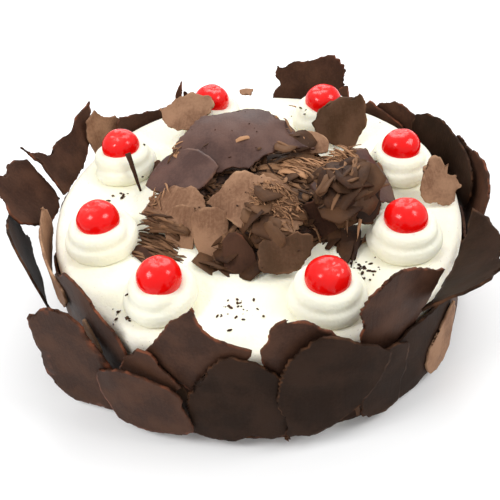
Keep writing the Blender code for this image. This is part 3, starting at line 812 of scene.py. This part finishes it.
def shaving(kind, cells, wide, arc):
    """One shaving of a kind, one unit long, as a mesh to copy."""
    shape = bmesh.new()
    bmesh.ops.create_grid(shape, x_segments=cells[0], y_segments=cells[1], size=0.5)
    for vertex in shape.verts:
        along, beside = vertex.co.x, vertex.co.y
        taper = 1 - (0.7 if kind == "sliver" else 0.35) * (2 * abs(along)) ** 3
        jag = 0.30 * noise.noise(Vector((along * 7, beside * 9, 3.3 * len(kind))))
        turn = along * arc
        reach = 1 / arc * (1 + (0.10 * turn if kind == "curl" else 0))
        vertex.co = Vector((math.sin(turn) * reach, beside * wide * taper * (1 + jag) + 0.15 * jag,
                            (math.cos(turn) - 1) * reach))
    bmesh.ops.solidify(shape, geom=shape.faces[:], thickness=SHAVING_THICK)
    bmesh.ops.recalc_face_normals(shape, faces=shape.faces)
    mesh = bpy.data.meshes.new("shaving_" + kind)
    shape.to_mesh(mesh)
    shape.free()
    return mesh


SHAVINGS = {kind: shaving(kind, *form) for kind, form in SHAVING_KINDS.items()}
# Kind, how many, middle and half sizes of the drift, how high it piles up, shortest and longest,
# heading, turn and lean either way of it, tones and seed (mm and degrees)
DRIFTS = (
    # fine slivers piled on the sheets
    ("sliver", 300, (33, 6), (15, 7), 5, (5, 15), -35, 14, 10, (0.2, 1.0), 1),
    ("flake", 30, (32, 6), (14, 7), 3, (2, 5), -35, 30, 25, (0.3, 0.9), 2),
    ("sliver", 240, (9, -25), (11, 8), 2.5, (3, 9), -35, 45, 18, (0.2, 0.9), 3),
    ("flake", 50, (9, -25), (11, 8), 2, (1.5, 4), -35, 60, 30, (0.2, 0.8), 4),
    ("strip", 9, (24, 4), (16, 9), 4, (16, 26), -35, 16, 10, (0.2, 0.9), 5),
    # the rough stack of thin shavings at the left
    ("sliver", 240, (-47, -29), (8, 14), 4, (8, 20), -30, 16, 8, (0.0, 0.4), 6),
    ("strip", 12, (-46, -27), (8, 13), 3, (12, 20), -30, 20, 14, (0.0, 0.4), 7),
    # dark broken sheets under the front and at the right; their near-black tone, darkest at the right, is
    # partly painted shade
    ("leaf", 18, (-6, -41), (19, 7), 3, (13, 21), 0, 60, 35, (0.0, 0.15), 8),
    ("leaf", 20, (40, -26), (10, 15), 4, (17, 26), 60, 35, 30, (0.0, 0.08), 9),
    ("sliver", 50, (42, -26), (10, 14), 5, (12, 28), 55, 30, 14, (0.0, 0.6), 10),
    ("strip", 8, (42, -24), (9, 14), 4, (16, 28), 60, 30, 20, (0.0, 0.3), 11),
    # all over the heap, the widest drifts in a ring round its foot
    ("leaf", 44, (0, 0), (48, 42), 1.5, (10, 18), 0, 180, 25, (0.0, 0.2), 12),
    ("curl", 14, (0, 0), (50, 44), 2, (4, 8), 0, 180, 30, (0.0, 0.6), 13),
    ("flake", 130, (0, 0), (52, 46), 1.5, (1.5, 5), 0, 180, 30, (0.0, 0.7), 14),
    ("sliver", 220, (0, 0), (50, 44), 2, (5, 16), 0, 180, 14, (0.0, 0.8), 15),
    # between the sheets
    ("strip", 14, (8, 0), (30, 16), 2, (14, 24), -25, 40, 14, (0.0, 0.5), 16),
    ("sliver", 140, (8, 0), (34, 20), 2, (8, 20), -30, 30, 10, (0.0, 0.35), 17),
    # under the sheets, where the heap shows from behind and from the sides
    ("leaf", 80, (-4, 28), (40, 14), 2.5, (9, 16), 0, 180, 30, (0.0, 0.4), 21),
    ("sliver", 220, (-4, 28), (42, 15), 3, (6, 18), 0, 60, 16, (0.0, 0.8), 22),
    ("flake", 90, (0, 10), (46, 34), 2, (2, 6), 0, 180, 30, (0.0, 0.6), 23),
    ("strip", 24, (0, 8), (40, 32), 3, (12, 22), -20, 60, 20, (0.0, 0.4), 24),
)
# Round spots where little lies on a sheet: middle and radius (mm)
BARE_SPOTS = ((-10, 26, 26), (-8, -18, 12), (-37, -14, 9), (-27, -32, 7), (14, -46, 7), (48, -8, 11))
FULL_FROM = 5                       # drifts up to this seed lie on the sheets even there
UNDER_FROM = 20                     # drifts from this seed on lie under the sheets
RING_FROM = 48                      # a drift with a half size over this leaves its middle out (mm)
HEAP_CEILING = 85 * MM


def bare(x, y):
    return any(math.hypot(x - spot[0], y - spot[1]) < spot[2] for spot in BARE_SPOTS)


def pour(kind, drifts, name, finish):
    """Drops every shaving of one kind, and joins them in one piece."""
    joined = bmesh.new()
    tone = joined.verts.layers.float.new("tone")
    joined.verts.layers.float.new("rim")
    for row in drifts:
        _, count, middle, half, lift, length, heading, turn, lean, tones, seed = row
        chance = random.Random(seed)
        for _ in range(count):
            angle = chance.uniform(0, math.tau)
            reach = math.sqrt(chance.random())
            if half[0] > RING_FROM:
                reach = 0.62 + 0.38 * reach
            x = middle[0] + math.cos(angle) * reach * half[0]
            y = middle[1] + math.sin(angle) * reach * half[1]
            long = chance.uniform(*length) * MM
            spin = math.radians(heading + chance.uniform(-turn, turn))
            tips = [math.radians(chance.uniform(-lean, lean)) for _ in range(2)]
            rise = chance.random() ** 2 * lift * 0.6 * MM + 0.3 * MM
            shade = chance.uniform(*tones)
            if FULL_FROM < seed < UNDER_FROM and bare(x, y):
                continue
            spot, normal = surface_below(x * MM, y * MM, packed if seed >= UNDER_FROM else resting)
            lie = Vector((0, 0, 1)).rotation_difference((normal + Vector((0, 0, 0.6))).normalized())
            stance = (Matrix.Translation(spot + Vector((0, 0, rise))) @ lie.to_matrix().to_4x4()
                      @ Matrix.Rotation(spin, 4, 'Z') @ Matrix.Rotation(tips[0], 4, 'X')
                      @ Matrix.Rotation(tips[1], 4, 'Y') @ Matrix.Scale(long, 4))
            before = len(joined.verts)
            joined.from_mesh(SHAVINGS[kind])
            joined.verts.ensure_lookup_table()
            fresh = joined.verts[before:]
            for vertex in fresh:
                vertex.co = stance @ vertex.co
                vertex[tone] = shade
            above = max(vertex.co.z for vertex in fresh) - HEAP_CEILING
            if above > 0:
                bmesh.ops.translate(joined, verts=fresh, vec=(0, 0, -above))
    lay_map(joined, Vector((0, 0, 1)))
    return add_piece(name, joined, finish)


shaved = chocolate("shaved_chocolate", tint("2C1C15"), tint("49301F"), tint("C0906A"), 0.45, shine=0.1)
for kind in SHAVINGS:
    pour(kind, [row for row in DRIFTS if row[0] == kind], "heap_" + kind + "s", shaved)

# ---------------------------------------------------------------- single shavings and crumbs
# A few shavings fell beside the heap: a stick that leans on a cherry, small rolls and chips on the
# cream, and black crumbs round the front.

# Kind, x, y, height over what is below, length, heading, lean up and tone (mm and degrees)
SINGLES = (
    ("sliver", -62, -68, 0.6, 5, 60, 5, 0.0),
    ("curl", -58, -72, 0.8, 5, 20, 8, 0.1),
    ("curl", -72, 13, 0.8, 4, 30, 8, 0.1),
    ("flake", -67, 11, 0.8, 3, 70, 12, 0.0),
    ("curl", 46, -53, 0.8, 6, 10, 5, 0.0),
    ("strip", -4, 18, 0.9, 9, 18, 2, 0.75),
    ("curl", -33, 8, 1.0, 5, 70, 4, 0.7),
    ("sliver", -22, 17, 1.0, 6, 35, 4, 0.1),
    ("flake", 4, 13, 0.8, 2.4, 35, 4, 0.1),
    ("curl", 20, 16, 0.8, 3, 10, 4, 0.1),
    ("flake", -36, -66, 1.0, 3.4, 35, 30, 0.4),
    ("sliver", 30, 78, 2.0, 14, -20, 30, 0.6),
)
single = bmesh.new()
tone = single.verts.layers.float.new("tone")
single.verts.layers.float.new("rim")
for kind, x, y, rise, long, heading, lean, shade in SINGLES:
    spot, normal = surface_below(x * MM, y * MM, resting)
    lie = Vector((0, 0, 1)).rotation_difference(normal)
    stance = (Matrix.Translation(spot + normal * rise * MM) @ lie.to_matrix().to_4x4()
              @ Matrix.Rotation(math.radians(heading), 4, 'Z')
              @ Matrix.Rotation(math.radians(lean), 4, 'Y') @ Matrix.Scale(long * MM, 4))
    before = len(single.verts)
    single.from_mesh(SHAVINGS[kind])
    single.verts.ensure_lookup_table()
    for vertex in single.verts[before:]:
        vertex.co = stance @ vertex.co
        vertex[tone] = shade
lay_map(single, Vector((0, 0, 1)))
add_piece("single_shavings", single, shaved)

STICK_WIDE = 2.4 * MM
STICK_THICK = 1.0 * MM
STICK_ROUGH = 0.4 * MM

stick = bmesh.new()
foot = Vector((-58, 15, 54.6)) * MM
head = Vector((-62, 23, 73)) * MM
lean = (head - foot).normalized()
bmesh.ops.create_cube(stick, size=1, matrix=Matrix.Translation((foot + head) / 2)
                      @ lean.to_track_quat('Z', 'Y').to_matrix().to_4x4()
                      @ Matrix.Diagonal((STICK_WIDE, STICK_THICK, (head - foot).length, 1)))
bmesh.ops.subdivide_edges(stick, edges=stick.edges[:], cuts=7, use_grid_fill=True)
for vertex in stick.verts:
    share = (vertex.co - foot).dot(lean) / (head - foot).length
    axis = foot + lean * (vertex.co - foot).dot(lean)
    vertex.co = axis + (vertex.co - axis) * (0.55 + 0.6 * share)
    vertex.co += Vector((noise.noise(vertex.co * 300), noise.noise(vertex.co * 300 + lean), 0)) * STICK_ROUGH
stick.verts.layers.float.new("tone")
stick.verts.layers.float.new("rim")
lay_map(stick, Vector((0, -1, 0)))
add_piece("leaning_stick", stick, dark)

# Where crumbs lie: x, y, spread (mm) and how many. The widest spread is sown with smaller ones.
CRUMB_SPOTS = ((-10, -72, 9, 26), (46, -54, 9, 26), (37, -46, 5, 14), (-58, -70, 8, 8), (-70, 12, 5, 8),
               (-50, 30, 8, 12), (60, 14, 7, 10), (0, 0, 62, 60), (20, 60, 16, 10))
CRUMB_SIZES = (0.25, 0.75)
WIDE_SPREAD = 20

crumbs = bmesh.new()
crumbs.verts.layers.float.new("tone")
crumbs.verts.layers.float.new("rim")
chance = random.Random(23)
for x, y, spread, count in CRUMB_SPOTS:
    for _ in range(count):
        at = Vector((x + chance.gauss(0, spread / 2), y + chance.gauss(0, spread / 2))) * MM
        size = chance.uniform(*CRUMB_SIZES) * MM * (1 if spread < WIDE_SPREAD else 0.7)
        squash = Matrix.Diagonal((size * chance.uniform(0.8, 2.2), size, size * 0.6, 1))
        spin = Matrix.Rotation(chance.uniform(0, math.tau), 4, 'Z')
        spot, _ = surface_below(at.x, at.y, resting)
        lift = Matrix.Translation(spot + Vector((0, 0, 0.5 * size + 0.3 * MM)))
        bmesh.ops.create_icosphere(crumbs, subdivisions=1, radius=1, matrix=lift @ spin @ squash)
lay_map(crumbs, Vector((0, 0, 1)))
add_piece("chocolate_crumbs", crumbs, dark)
